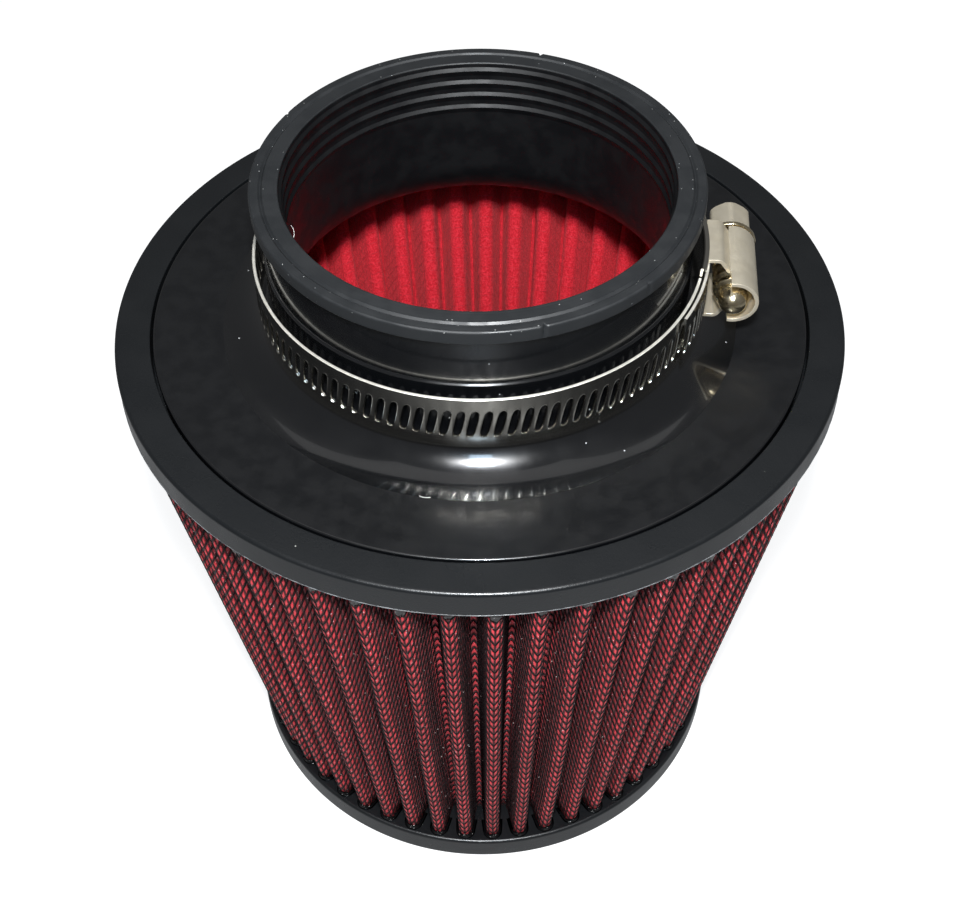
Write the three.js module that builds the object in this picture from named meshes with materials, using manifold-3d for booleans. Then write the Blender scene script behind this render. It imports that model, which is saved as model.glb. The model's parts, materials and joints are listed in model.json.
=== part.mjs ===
// Clamp-on cone air filter with a worm-drive hose clamp. Millimetres, +Z up.
// It stands on its closed end with the neck up. Origin: centre of the closed end's underside.
import * as THREE from 'three';
import { mergeVertices } from 'three/addons/utils/BufferGeometryUtils.js';
import Module from 'manifold-3d';

const wasm = await Module();
wasm.setup();

// ---- Clearances ----
const fitGap = 0.3; // between pieces that seat on each other
const layerGap = 0.25; // between the layers of the folded filter strip
const grooveGap = 0.5; // open groove around the moulded disc

// ---- Filter element ----
const elementHeight = 129; // underside of the closed end to the end ring's top face
const topRingRadius = 76;
const topRingHeight = 6.2;
const baseRingRadius = 58.75;
const baseRingHeight = 6.6;
const edgeRound = 0.8; // round on the end rings' outer edges

// ---- Folded strip: wire screen, cotton, wire screen ----
const pleatCount = 54;
const pleatDepth = 10; // outside of a tip to inside of a fold
const topTipInset = 0.8; // end ring's edge to the pleat tips
const baseTipInset = 1.15; // closed end ring's edge to the pleat tips
const pottingMargin = 2; // the end rings reach this far inside the folds
const tipWidth = 3.7;
const valleyWidth = 0.9;
const screenThickness = 0.25;
const cottonThickness = 0.7;
const firstTipAngle = -88.2;
const seamThickness = 0.5;
const seamHeight = 3.2; // how far the seam strip stands up in its valley

// ---- Moulded neck and disc ----
const rimWidth = 7.3; // end ring's flat rim outside the disc
const discEdgeThickness = 3.8;
const dishDepth = 0.8; // fall of the disc from its edge to the fillet
const neckHeight = 33.7; // above the end ring's top face
const boreRadius = 38.8;
const neckWall = 4.4;
const neckStep = 0.4; // the upper neck is this much slimmer
const neckStepHeight = 19;
const filletReach = 10.5; // the soft corner at the neck's foot runs this far out over the disc
const filletRise = 7.6; // and this far up the neck
const flareRadius = 12.4; // the bore's lower end opens out with this radius
const flareStart = 7.2; // above the end ring's top face
const lipProjection = 1.8;
const lipHeight = 3;
const lipRound = 0.7;
const lipGrooveInset = 2.3; // lip's edge to the middle of its groove
const lipGrooveWidth = 0.8;
const lipGrooveDepth = 0.4;
const ridgeCount = 4;
const ridgeHeight = 0.5; // grip ridges stand this far into the bore
const ridgePitch = 3.1;
const firstRidgeDrop = 1.8; // neck's top face to the first ridge's crest

// ---- Closed end plate ----
const plateSeatWidth = 4.4;
const plateThickness = 1.2;
const plateRibInset = 18; // plate's edge to the crest of its rib
const plateRibHeight = 2.4;

// ---- Hose clamp ----
const bandSlack = 1.8; // the undone band's clearance round the neck
const bandThickness = 0.6;
const bandWidth = 12.7;
const bandLift = 5.1; // end ring's top face to the band's lower edge
const clampAngle = -4.7; // where the screw housing sits round the neck
const tailGap = 0.45; // loose end's clearance over the band
const tailLead = 21.8; // loose end ahead of the housing's middle
const tailTip = 13.4; // loose end past the housing's middle
const housingLength = 18;
const housingWall = 0.8;
const shoulderHeight = 2.6; // band channel's straight side wall
const shoulderBow = 0.32; // the channel's roof stands this much off the shoulder
const channelLength = 14; // the channel is shorter than the barrel
const channelClearance = 0.4; // band edge to channel wall
const barrelClearance = 0.35; // thread crest to barrel
const barrelJoinAngle = 104; // round the screw, where the barrel meets the channel's shoulder
const saddleTabHeight = 0.7;
const saddleTabThickness = 0.7;
const threadClearance = 0.95; // plain thread to the loose end's outer face
const threadRadius = 3.9;
const threadRootRadius = 3.1;
const threadPitch = 2.54; // the band's slot pitch
const threadCount = 6;
const threadFlanks = [0.15, 0.4, 0.6, 0.85]; // root, crest, crest, root, as shares of the pitch
const collarRadius = 5.3;
const collarThickness = 1.1;
const hexAcrossFlats = 8;
const hexLength = 7.6;
const slotWidth = 1.4;
const slotDepth = 2;
const domeLength = 1.9; // the screw's round end stands this far out of the barrel
const domeStart = 0.6; // inside the barrel's end
const domeRimAngle = -20;

// ---- Facet counts ----
const ringSegments = 56;
const screwSegments = 24;

const { degToRad } = THREE.MathUtils;
const filter = new THREE.Group();

// Keeps only the positions, drops collapsed triangles and turns the faces outwards.
function closedBody(source) {
  const bare = source.index ? source.toNonIndexed() : source.clone();
  bare.deleteAttribute('normal');
  bare.deleteAttribute('uv');
  const merged = mergeVertices(bare, 1e-4);
  const position = merged.getAttribute('position');
  const faces = [];
  let volume = 0;
  for (let i = 0; i < merged.index.count; i += 3) {
    const [a, b, c] = [0, 1, 2].map((k) => merged.index.getX(i + k));
    if (a === b || b === c || c === a) continue;
    faces.push([a, b, c]);
    const [p, q, r] = [a, b, c].map((v) => new THREE.Vector3().fromBufferAttribute(position, v));
    volume += p.dot(q.cross(r));
  }
  merged.setIndex(faces.flatMap(([a, b, c]) => (volume < 0 ? [a, c, b] : [a, b, c])));
  return merged;
}

function toSolid(geometry) {
  const body = closedBody(geometry);
  return new wasm.Manifold(new wasm.Mesh({
    numProp: 3,
    vertProperties: new Float32Array(body.getAttribute('position').array),
    triVerts: new Uint32Array(body.index.array),
  }));
}

function fromSolid(solid) {
  const mesh = solid.getMesh();
  const geometry = new THREE.BufferGeometry();
  geometry.setAttribute('position', new THREE.BufferAttribute(new Float32Array(mesh.vertProperties), 3));
  geometry.setIndex(Array.from(mesh.triVerts));
  return geometry;
}

function addPiece(parent, name, geometry, material) {
  const mesh = new THREE.Mesh(closedBody(geometry), material);
  mesh.geometry.computeVertexNormals();
  mesh.name = name;
  parent.add(mesh);
  return mesh;
}

const finish = (color, roughness, metalness) => new THREE.MeshStandardMaterial({ color, roughness, metalness });
const point = (radius, height) => new THREE.Vector2(radius, height);

function arc(centreRadius, centreHeight, radius, fromDeg, toDeg, steps) {
  return Array.from({ length: steps + 1 }, (_, i) => {
    const angle = degToRad(fromDeg + ((toDeg - fromDeg) * i) / steps);
    return point(centreRadius + radius * Math.cos(angle), centreHeight + radius * Math.sin(angle));
  });
}

// Revolves a closed (radius, height) outline about the Z axis.
function turned(outline, segments) {
  return new THREE.LatheGeometry([...outline, outline[0]], segments).rotateX(Math.PI / 2);
}

// A strip bent round the Z axis, between two angles and two heights.
function bentStrip(innerRadius, thickness, fromDeg, toDeg, low, high) {
  const [from, to] = [degToRad(fromDeg), degToRad(toDeg)];
  const steps = Math.max(4, Math.ceil(((toDeg - fromDeg) * ringSegments) / 360));
  const shape = new THREE.Shape();
  shape.absarc(0, 0, innerRadius + thickness, from, to, false);
  shape.absarc(0, 0, innerRadius, to, from, true);
  const strip = new THREE.ExtrudeGeometry(shape, { depth: high - low, bevelEnabled: false, curveSegments: steps });
  return strip.translate(0, 0, low);
}

// ---- Cast end ring at the neck end: holds the disc on a ledge and caps the pleats ----
const layersThickness = 2 * screenThickness + 2 * layerGap + cottonThickness;
const topTipRadius = topRingRadius - topTipInset;
const discRadius = topRingRadius - rimWidth - grooveGap;
const ledgeInnerRadius = topTipRadius - pleatDepth - pottingMargin;
const ledgeTop = elementHeight - discEdgeThickness - fitGap;
const topRingUnderside = elementHeight - topRingHeight;
const topRingOutline = [
  ...arc(topRingRadius - edgeRound, topRingUnderside + edgeRound, edgeRound, -90, 0, 2),
  ...arc(topRingRadius - edgeRound, elementHeight - edgeRound, edgeRound, 0, 90, 3),
  point(discRadius + grooveGap, elementHeight),
  point(discRadius + grooveGap, ledgeTop),
  point(ledgeInnerRadius, ledgeTop),
  point(ledgeInnerRadius, topRingUnderside),
];
const castUrethane = finish(0x1d1f21, 0.6, 0);
addPiece(filter, 'top_end_ring', turned(topRingOutline, ringSegments), castUrethane);

// ---- Moulded neck: disc, fillet, neck wall, lip and the grip ridges in the bore ----
const neckTop = elementHeight + neckHeight;
const neckRadius = boreRadius + neckWall;
const filletCentre = point(neckRadius + filletReach, elementHeight - dishDepth + filletRise);
const fillet = arc(0, 0, 1, 270, 180, 6)
  .map((p) => point(filletCentre.x + p.x * filletReach, filletCentre.y + p.y * filletRise));
const flareCentre = point(boreRadius + flareRadius, elementHeight + flareStart);
const discUnderside = elementHeight - discEdgeThickness;
const flareEndAngle = 180 + (Math.asin((flareCentre.y - discUnderside) / flareRadius) * 180) / Math.PI;
const upperNeckRadius = neckRadius - neckStep;
const lipRadius = upperNeckRadius + lipProjection;
const lipGrooveRadius = lipRadius - lipGrooveInset;
const grooveHalf = lipGrooveWidth / 2;
const ridges = Array.from({ length: ridgeCount }, (_, i) => {
  const crest = neckTop - firstRidgeDrop - i * ridgePitch;
  return [
    point(boreRadius, crest + ridgeHeight),
    point(boreRadius - ridgeHeight, crest),
    point(boreRadius, crest - ridgePitch / 2),
  ];
}).flat();
const neckOutline = [
  point(discRadius, discUnderside),
  point(discRadius, elementHeight),
  ...fillet,
  point(neckRadius, elementHeight + neckStepHeight),
  point(upperNeckRadius, elementHeight + neckStepHeight + neckStep),
  point(upperNeckRadius, neckTop - lipHeight),
  point(lipRadius, neckTop - lipHeight),
  ...arc(lipRadius - lipRound, neckTop - lipRound, lipRound, 0, 90, 2),
  point(lipGrooveRadius + grooveHalf, neckTop),
  point(lipGrooveRadius, neckTop - lipGrooveDepth),
  point(lipGrooveRadius - grooveHalf, neckTop),
  point(boreRadius, neckTop),
  ...ridges,
  ...arc(flareCentre.x, flareCentre.y, flareRadius, 180, flareEndAngle, 5),
];
addPiece(filter, 'neck_flange', turned(neckOutline, ringSegments), finish(0x0d0e10, 0.25, 0));

// ---- Folded strip: three layers that follow one pleat outline ----
const packLow = baseRingHeight + fitGap;
const packHigh = topRingUnderside - fitGap;
const pleatStep = 360 / pleatCount;

function around(angleDeg, radius, side) {
  const angle = degToRad(angleDeg);
  return point(radius * Math.cos(angle) - side * Math.sin(angle), radius * Math.sin(angle) + side * Math.cos(angle));
}

// Outermost outline of the folded strip, anticlockwise: two corners on each tip, two in each valley.
function pleatOutline(tipRadius) {
  const valleyRadius = tipRadius - pleatDepth + layersThickness;
  return Array.from({ length: pleatCount }, (_, i) => {
    const tip = firstTipAngle + i * pleatStep;
    return [
      around(tip, tipRadius, -tipWidth / 2),
      around(tip, tipRadius, tipWidth / 2),
      around(tip + pleatStep / 2, valleyRadius, -valleyWidth / 2),
      around(tip + pleatStep / 2, valleyRadius, valleyWidth / 2),
    ];
  }).flat();
}

// Moves every side of an anticlockwise outline inwards by the same distance.
function insetOutline(outline, distance) {
  const normals = outline.map((p, i) => {
    const along = outline[(i + 1) % outline.length].clone().sub(p).normalize();
    return point(-along.y, along.x);
  });
  return outline.map((p, i) => {
    const before = normals[(i + outline.length - 1) % outline.length];
    const mitre = before.clone().add(normals[i]).multiplyScalar(distance / (1 + before.dot(normals[i])));
    return p.clone().add(mitre);
  });
}

const baseTipRadius = baseRingRadius - baseTipInset;
const lowOutline = pleatOutline(baseTipRadius);
const highOutline = pleatOutline(topTipRadius);

// A closed folded wall between two insets of the pleat outline, tapering from the base to the top.
function foldedWall(outerInset, innerInset) {
  const loops = [
    insetOutline(lowOutline, outerInset).map((p) => [p.x, p.y, packLow]),
    insetOutline(highOutline, outerInset).map((p) => [p.x, p.y, packHigh]),
    insetOutline(highOutline, innerInset).map((p) => [p.x, p.y, packHigh]),
    insetOutline(lowOutline, innerInset).map((p) => [p.x, p.y, packLow]),
  ];
  const count = lowOutline.length;
  const index = [];
  loops.forEach((_, row) => {
    const next = (row + 1) % loops.length;
    const goingDown = row === 2; // so that the walls of every layer are split along the same diagonal
    for (let i = 0; i < count; i += 1) {
      const j = (i + 1) % count;
      const [a, b, c, d] = [row * count + i, row * count + j, next * count + j, next * count + i];
      index.push(...(goingDown ? [a, b, d, b, c, d] : [a, b, c, a, c, d]));
    }
  });
  const geometry = new THREE.BufferGeometry();
  geometry.setAttribute('position', new THREE.Float32BufferAttribute(loops.flat(2), 3));
  return geometry.setIndex(index);
}

const cottonInset = screenThickness + layerGap;
const innerScreenInset = cottonInset + cottonThickness + layerGap;
const coatedWire = finish(0x3a0d12, 0.55, 0.3);
addPiece(filter, 'outer_screen', foldedWall(0, screenThickness), coatedWire);
addPiece(filter, 'pleat_pack', foldedWall(cottonInset, cottonInset + cottonThickness), finish(0xa8141c, 0.9, 0));
addPiece(filter, 'inner_screen', foldedWall(innerScreenInset, layersThickness), coatedWire);

// ---- Seam strip: stands in one valley, where the two ends of the folded strip are glued ----
const seamAngle = firstTipAngle + (Math.floor(pleatCount / 2) + 0.5) * pleatStep;

function seamSection(tipRadius, height) {
  const floor = tipRadius - pleatDepth + layersThickness + fitGap;
  const side = seamThickness / 2;
  return [[floor, -side], [floor + seamHeight, -side], [floor + seamHeight, side], [floor, side]]
    .map((corner) => around(seamAngle, ...corner))
    .map((p) => [p.x, p.y, height]);
}

function seamStrip() {
  const positions = [...seamSection(baseTipRadius, packLow), ...seamSection(topTipRadius, packHigh)];
  const sides = [0, 1, 2, 3].flatMap((i) => {
    const j = (i + 1) % 4;
    return [i, j, j + 4, i, j + 4, i + 4];
  });
  const geometry = new THREE.BufferGeometry();
  geometry.setAttribute('position', new THREE.Float32BufferAttribute(positions.flat(), 3));
  return geometry.setIndex([...sides, 0, 2, 1, 0, 3, 2, 4, 5, 6, 4, 6, 7]);
}
addPiece(filter, 'seam_strip', seamStrip(), castUrethane);

// ---- Cast end ring at the closed end, and the pressed plate in its recess ----
const plateSeat = plateThickness + fitGap;
const baseRingInner = baseTipRadius - pleatDepth - pottingMargin;
const plateRadius = baseRingInner + plateSeatWidth;
const plateRibRadius = plateRadius - plateRibInset;
const baseRingOutline = [
  ...arc(baseRingRadius - edgeRound, edgeRound, edgeRound, -90, 0, 2),
  ...arc(baseRingRadius - edgeRound, baseRingHeight - edgeRound, edgeRound, 0, 90, 2),
  point(baseRingInner, baseRingHeight),
  point(baseRingInner, plateSeat),
  point(plateRadius + fitGap, plateSeat),
  point(plateRadius + fitGap, 0),
];
addPiece(filter, 'base_end_ring', turned(baseRingOutline, ringSegments), castUrethane);

const ribHalf = plateRibHeight;
const plateOutline = [
  point(0, 0),
  point(plateRibRadius - ribHalf, 0),
  point(plateRibRadius, plateRibHeight),
  point(plateRibRadius + ribHalf, 0),
  point(plateRadius, 0),
  point(plateRadius, plateThickness),
  point(plateRibRadius + ribHalf, plateThickness),
  point(plateRibRadius, plateRibHeight + plateThickness),
  point(plateRibRadius - ribHalf, plateThickness),
  point(0, plateThickness),
];
addPiece(filter, 'base_plate', turned(plateOutline, ringSegments), finish(0x17181a, 0.45, 0.6));

// ---- Hose clamp. Its group's +X points out through the screw, +Y along the screw to its head. ----
const clamp = new THREE.Group();
clamp.rotation.z = degToRad(clampAngle);
clamp.position.z = elementHeight + bandLift + bandWidth / 2;
filter.add(clamp);
const stainless = finish(0xb9b6ae, 0.28, 1);
const nickel = finish(0xc9bfae, 0.35, 1);
const bandHalf = bandWidth / 2;
const bandInnerRadius = neckRadius + bandSlack;
const bandOuterRadius = bandInnerRadius + bandThickness;
const tailInnerRadius = bandOuterRadius + tailGap;
const halfLength = housingLength / 2;
const saddleHalfAngle = (Math.atan(halfLength / bandInnerRadius) * 180) / Math.PI;
const bandEndAngle = saddleHalfAngle + (Math.atan(fitGap / bandInnerRadius) * 180) / Math.PI;
const channelHalf = bandHalf + channelClearance;
const channelOuterHalf = channelHalf + housingWall;

// The band's loop, from one end of the saddle round to the other.
const bandLoop = bentStrip(bandInnerRadius, bandThickness, bandEndAngle, 360 - bandEndAngle, -bandHalf, bandHalf);
addPiece(clamp, 'clamp_band', bandLoop, stainless);

// The band's loose end, lying over the loop and through the channel under the screw.
const tailAngle = (length) => (length / tailInnerRadius) * (180 / Math.PI);
const tailStrip = bentStrip(
  tailInnerRadius, bandThickness, -tailAngle(tailLead), tailAngle(tailTip), -bandHalf, bandHalf,
);
addPiece(clamp, 'band_tail', tailStrip, stainless);

// Saddle: a bent base strip with a tab along each edge that grips the housing's feet.
const tabInner = channelOuterHalf + fitGap;
const tabOuter = tabInner + saddleTabThickness;
const saddleArc = [-saddleHalfAngle, saddleHalfAngle];
const saddleTab = (low) => toSolid(bentStrip(
  bandInnerRadius, saddleTabHeight + bandThickness, ...saddleArc, low, low + saddleTabThickness,
));
const saddle = toSolid(bentStrip(bandInnerRadius, bandThickness, ...saddleArc, -tabOuter, tabOuter))
  .add(saddleTab(tabInner))
  .add(saddleTab(-tabOuter));
addPiece(clamp, 'clamp_saddle', fromSolid(saddle), nickel);

// Housing: a barrel round the screw that opens into a channel over the band.
const screwCentre = tailInnerRadius + bandThickness + threadClearance + threadRadius;
const barrelInner = threadRadius + barrelClearance;
const barrelOuter = barrelInner + housingWall;
const footBottom = bandOuterRadius + tailGap;
const shoulder = footBottom + shoulderHeight;
const halfSection = (half, barrelRadius, rise) => [
  point(footBottom, half),
  point(shoulder + rise, half),
  ...arc(screwCentre, 0, barrelRadius, barrelJoinAngle, 0, 6),
];
const mirrored = (outline) => outline.slice(0, -1).reverse().map((p) => point(p.x, -p.y));
const outerHalf = halfSection(channelOuterHalf, barrelOuter, 0);
const innerHalf = halfSection(channelHalf, barrelInner, -shoulderBow);
const housingOutline = [...outerHalf, ...mirrored(outerHalf), ...innerHalf.map((p) => point(p.x, -p.y)),
  ...mirrored(innerHalf).map((p) => point(p.x, -p.y))];
const housingBlank = new THREE.ExtrudeGeometry(new THREE.Shape(housingOutline), {
  depth: housingLength, bevelEnabled: false,
}).rotateX(Math.PI / 2).translate(0, halfLength, 0);
const cutLength = housingLength - channelLength;
const cutTop = screwCentre + barrelInner * Math.cos(degToRad(barrelJoinAngle));
const channelCut = new THREE.BoxGeometry(2 * (cutTop - footBottom), 2 * cutLength, 4 * channelOuterHalf)
  .translate(footBottom, -halfLength, 0);
const housing = toSolid(housingBlank).subtract(toSolid(channelCut));
addPiece(clamp, 'clamp_housing', fromSolid(housing), nickel);

// Screw: domed end, worm thread, collar and slotted hexagon head, turned about the group's Y.
const threadLength = threadCount * threadPitch;
const thread = Array.from({ length: threadCount }, (_, i) => {
  const start = -threadLength / 2 + i * threadPitch;
  const [rise, crestStart, crestEnd, fall] = threadFlanks.map((share) => start + threadPitch * share);
  return [
    point(threadRootRadius, rise),
    point(threadRadius, crestStart),
    point(threadRadius, crestEnd),
    point(threadRootRadius, fall),
  ];
}).flat();
const collarStart = halfLength + fitGap;
const headStart = collarStart + collarThickness;
const domeBase = domeStart - halfLength;
const dome = arc(0, 0, 1, -90, domeRimAngle, 4)
  .map((p) => point(p.x * threadRootRadius, domeBase + p.y * (domeLength + domeStart)));
const screwOutline = [
  ...dome,
  ...thread,
  point(threadRootRadius, collarStart),
  point(collarRadius, collarStart),
  point(collarRadius, headStart),
  point(0, headStart),
];
const shank = new THREE.LatheGeometry([...screwOutline, screwOutline[0]], screwSegments);
const hexRadius = hexAcrossFlats / Math.sqrt(3);
const hexOverlap = collarThickness / 2;
const hex = new THREE.CylinderGeometry(hexRadius, hexRadius, hexLength + hexOverlap, 6)
  .translate(0, headStart + (hexLength - hexOverlap) / 2, 0);
const driverSlot = new THREE.BoxGeometry(slotWidth, 2 * slotDepth, 4 * hexRadius)
  .translate(0, headStart + hexLength, 0);
const screw = addPiece(clamp, 'clamp_screw',
  fromSolid(toSolid(shank).add(toSolid(hex)).subtract(toSolid(driverSlot))), nickel);
screw.position.x = screwCentre;

export default filter;
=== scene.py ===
import json
from math import acos, atan2, cos, hypot, pi, radians, sin, tan

import bmesh
import bpy
import numpy as np
from mathutils import Euler, Matrix, Vector


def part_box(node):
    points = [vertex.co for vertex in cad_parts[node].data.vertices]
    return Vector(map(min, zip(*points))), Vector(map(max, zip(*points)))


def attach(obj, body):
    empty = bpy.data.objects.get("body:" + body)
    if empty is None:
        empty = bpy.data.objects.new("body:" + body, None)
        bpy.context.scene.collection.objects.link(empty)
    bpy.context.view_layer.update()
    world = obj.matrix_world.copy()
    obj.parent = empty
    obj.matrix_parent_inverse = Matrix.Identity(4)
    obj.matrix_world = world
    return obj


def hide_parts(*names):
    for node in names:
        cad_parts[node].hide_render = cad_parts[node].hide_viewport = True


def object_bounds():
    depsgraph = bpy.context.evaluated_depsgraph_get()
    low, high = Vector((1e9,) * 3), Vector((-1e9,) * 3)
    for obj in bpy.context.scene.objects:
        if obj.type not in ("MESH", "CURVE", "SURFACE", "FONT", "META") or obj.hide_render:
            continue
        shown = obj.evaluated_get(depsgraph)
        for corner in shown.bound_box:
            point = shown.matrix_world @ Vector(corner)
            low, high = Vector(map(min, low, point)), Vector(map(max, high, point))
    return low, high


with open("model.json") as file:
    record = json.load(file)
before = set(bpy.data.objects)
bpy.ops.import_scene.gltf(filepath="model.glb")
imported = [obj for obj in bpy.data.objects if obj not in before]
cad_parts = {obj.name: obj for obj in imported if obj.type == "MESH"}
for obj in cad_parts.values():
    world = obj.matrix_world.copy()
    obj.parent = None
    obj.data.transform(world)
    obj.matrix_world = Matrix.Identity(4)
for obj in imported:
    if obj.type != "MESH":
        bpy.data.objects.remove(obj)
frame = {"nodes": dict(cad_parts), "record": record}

cad_low, cad_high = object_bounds()
scene = bpy.context.scene
mm = 0.001


# ---- Table, room, lamps and camera ----
# A pale table that looks as white as the room. One small lamp just above the viewer does the
# lighting, with a weak soft box overhead and a narrow strip light behind the viewer.

def tone(code):
    """The linear colour of an sRGB hex value."""
    parts = [int(code[i:i + 2], 16) / 255 for i in (1, 3, 5)]
    return (*(c / 12.92 if c <= 0.04045 else ((c + 0.055) / 1.055) ** 2.4 for c in parts), 1)


def add_node(tree, kind, inputs=None, **settings):
    """One node with its settings; each input is a constant or another node's output to link."""
    node = tree.nodes.new(kind)
    for name, value in settings.items():
        setattr(node, name, value)
    for name, value in (inputs or {}).items():
        if isinstance(value, bpy.types.NodeSocket):
            tree.links.new(value, node.inputs[name])
        else:
            node.inputs[name].default_value = value
    return node


def maths(tree, operation, *values):
    """The result of one arithmetic node."""
    return add_node(tree, "ShaderNodeMath", dict(enumerate(values)), operation=operation).outputs[0]


def new_finish(name, colour, sockets):
    """A material whose Principled shader has its constant values set on its own sockets."""
    material = bpy.data.materials.new(name)
    material.use_nodes = True
    shader = material.node_tree.nodes["Principled BSDF"]
    shader.inputs["Base Color"].default_value = tone(colour)
    for socket, value in sockets.items():
        shader.inputs[socket].default_value = value
    return material, material.node_tree


def feed(tree, socket, output):
    """Links a node's output to a socket of the Principled shader."""
    tree.links.new(output, tree.nodes["Principled BSDF"].inputs[socket])


room = bpy.data.worlds.new("white_room")
scene.world = room
room.use_nodes = True
room_light = room.node_tree.nodes["Background"]
seen_by = add_node(room.node_tree, "ShaderNodeLightPath")
# The room is pure white to look at, and dimmer where it lights or is mirrored by the filter.
seen_strength, lit_strength, mirrored_strength = 1.0, 0.25, 0.15
lit_or_seen = maths(room.node_tree, "MULTIPLY_ADD", seen_by.outputs["Is Camera Ray"],
                    seen_strength - lit_strength, lit_strength)
room_strength = maths(room.node_tree, "MULTIPLY_ADD", seen_by.outputs["Is Glossy Ray"],
                      mirrored_strength - lit_strength, lit_or_seen)
room.node_tree.links.new(room_strength, room_light.inputs["Strength"])
room_light.inputs["Color"].default_value = tone("#ffffff")

table_half = 2.5
table = bpy.data.objects.new("table_top", bpy.data.meshes.new("table_top"))
scene.collection.objects.link(table)
table.data.from_pydata(
    [(x * table_half, y * table_half, cad_low.z) for x, y in ((-1, -1), (1, -1), (1, 1), (-1, 1))],
    [], [(0, 1, 2, 3)])
# Lifted to white for the eye only: the filter gets no more light from it than from a grey top.
table_lift = 0.8
laminate, tree = new_finish("pale_matt_laminate", "#a4a4a4", {
    "Roughness": 0.7, "Emission Color": tone("#ffffff")})
seen = add_node(tree, "ShaderNodeLightPath").outputs["Is Camera Ray"]
feed(tree, "Emission Strength", maths(tree, "MULTIPLY", seen, table_lift))
table.data.materials.append(laminate)

camera_place = Vector((0.76, -236.04, 343.95)) * mm
camera_pitch = radians(45.97)
camera_roll = radians(-0.59)
camera = bpy.data.objects.new("viewer", bpy.data.cameras.new("viewer"))
scene.collection.objects.link(camera)
camera.location = camera_place
turn = Euler((pi / 2 - camera_pitch, 0, 0)).to_matrix() @ Matrix.Rotation(camera_roll, 3, "Z")
camera.rotation_euler = turn.to_euler()
camera.data.lens = 56.255
camera.data.sensor_fit = "HORIZONTAL"
camera.data.shift_y = -0.05165
camera.data.clip_start = 0.01
scene.camera = camera
scene.view_settings.view_transform = "Standard"


def lamp(name, place, aim, width, depth, watts, colour="#ffffff"):
    """A rectangular lamp at one place, aimed at another."""
    light = bpy.data.lights.new(name, "AREA")
    light.color = tone(colour)[:3]
    light.shape = "RECTANGLE"
    light.size, light.size_y = width, depth
    light.energy = watts
    holder = bpy.data.objects.new(name, light)
    holder.location = place
    holder.rotation_euler = (aim - place).to_track_quat("-Z", "Y").to_euler()
    scene.collection.objects.link(holder)


neck_mouth = Vector((0, 0, cad_high.z))
lamp("small_lamp", camera_place + Vector((0, 10, 70)) * mm, neck_mouth * 0.7, 0.022, 0.03, 2.4)
lamp("soft_box", Vector((0, 0.15, 0.95)), neck_mouth, 0.7, 0.7, 0.8)
lamp("strip_light", Vector((0, -0.39, 0.6)), neck_mouth, 0.09, 0.3, 1.2, "#c0dcf4")


# ---- Closed end plate ----
# A pressed steel disc with one ring-shaped stiffening rib, black electrocoated, which shuts the
# narrow end. It sits in a recess of the closed end's ring and is bonded there.

def rounded(corners, closed=True, arc_steps=6):
    """An outline through (x, y, radius) corners, with each corner's radius turned as an arc."""
    path = []
    for i, (x, y, radius) in enumerate(corners):
        here = Vector((x, y))
        if not radius or (not closed and i in (0, len(corners) - 1)):
            path.append((x, y))
            continue
        back = (Vector(corners[i - 1][:2]) - here).normalized()
        ahead = (Vector(corners[(i + 1) % len(corners)][:2]) - here).normalized()
        half = back.angle(ahead) / 2
        centre = here + (back + ahead).normalized() * radius / sin(half)
        first = here + back * radius / tan(half) - centre
        last = here + ahead * radius / tan(half) - centre
        sweep = pi - 2 * half
        for k in range(arc_steps + 1):
            share = k / arc_steps
            spoke = first * sin((1 - share) * sweep) + last * sin(share * sweep)
            path.append(tuple(centre + spoke / sin(sweep)))
    return path


def arc_points(centre_x, centre_y, radius, from_degrees, to_degrees, steps):
    """Sharp (x, y, 0) corners along an arc."""
    angles = np.radians(np.linspace(from_degrees, to_degrees, steps + 1))
    return [(centre_x + radius * cos(a), centre_y + radius * sin(a), 0) for a in angles]


def joined(*parts):
    """Arrays of coordinates, grown to one shape and joined place by place."""
    return np.stack(np.broadcast_arrays(*parts), axis=-1)


def grid_faces(rows, columns, wrap_rows=False, wrap_columns=False):
    """Four-cornered faces over a grid of points that is numbered row by row."""
    row = np.arange(rows if wrap_rows else rows - 1)[:, None]
    column = np.arange(columns if wrap_columns else columns - 1)[None, :]
    next_row, next_column = (row + 1) % rows, (column + 1) % columns
    return joined(row * columns + column, row * columns + next_column,
                  next_row * columns + next_column, next_row * columns + column).reshape(-1, 4)


def polar(radius, angle, height):
    """Points at the given distances and angles round the Z axis."""
    return joined(radius * np.cos(angle), radius * np.sin(angle), height)


def turned(outline, turns=360):
    """Points and faces of a closed (radius, height) outline turned about the Z axis."""
    outline = np.array(outline)
    angle = np.linspace(0, 2 * pi, turns, endpoint=False)[:, None]
    points = polar(outline[None, :, 0], angle, outline[None, :, 1])
    return points.reshape(-1, 3), grid_faces(turns, len(outline), True, True)


def make_piece(name, points, faces, body, slot, replaced=(), finishes=(), outward=True):
    """A smooth mesh object that rides on a body and stands for the given CAD nodes."""
    mesh = bpy.data.meshes.new(name)
    mesh.from_pydata(np.asarray(points).tolist(), [], [list(f) for f in faces])
    piece = bpy.data.objects.new(name, mesh)
    scene.collection.objects.link(piece)
    if outward:
        shape = bmesh.new()
        shape.from_mesh(mesh)
        bmesh.ops.remove_doubles(shape, verts=shape.verts, dist=mm / 1000)
        bmesh.ops.recalc_face_normals(shape, faces=shape.faces)
        shape.to_mesh(mesh)
        shape.free()
    for finish in finishes:
        mesh.materials.append(finish)
    mesh.shade_smooth()
    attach(piece, body)
    if replaced:
        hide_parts(*replaced)
    return piece


def soften(piece, sharp_degrees=50):
    """Flat faces stay flat and only the small rounds between them turn the light."""
    piece.data.set_sharp_from_angle(angle=radians(sharp_degrees))
    level = piece.modifiers.new("even_shading", "WEIGHTED_NORMAL")
    level.keep_sharp = True


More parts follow.
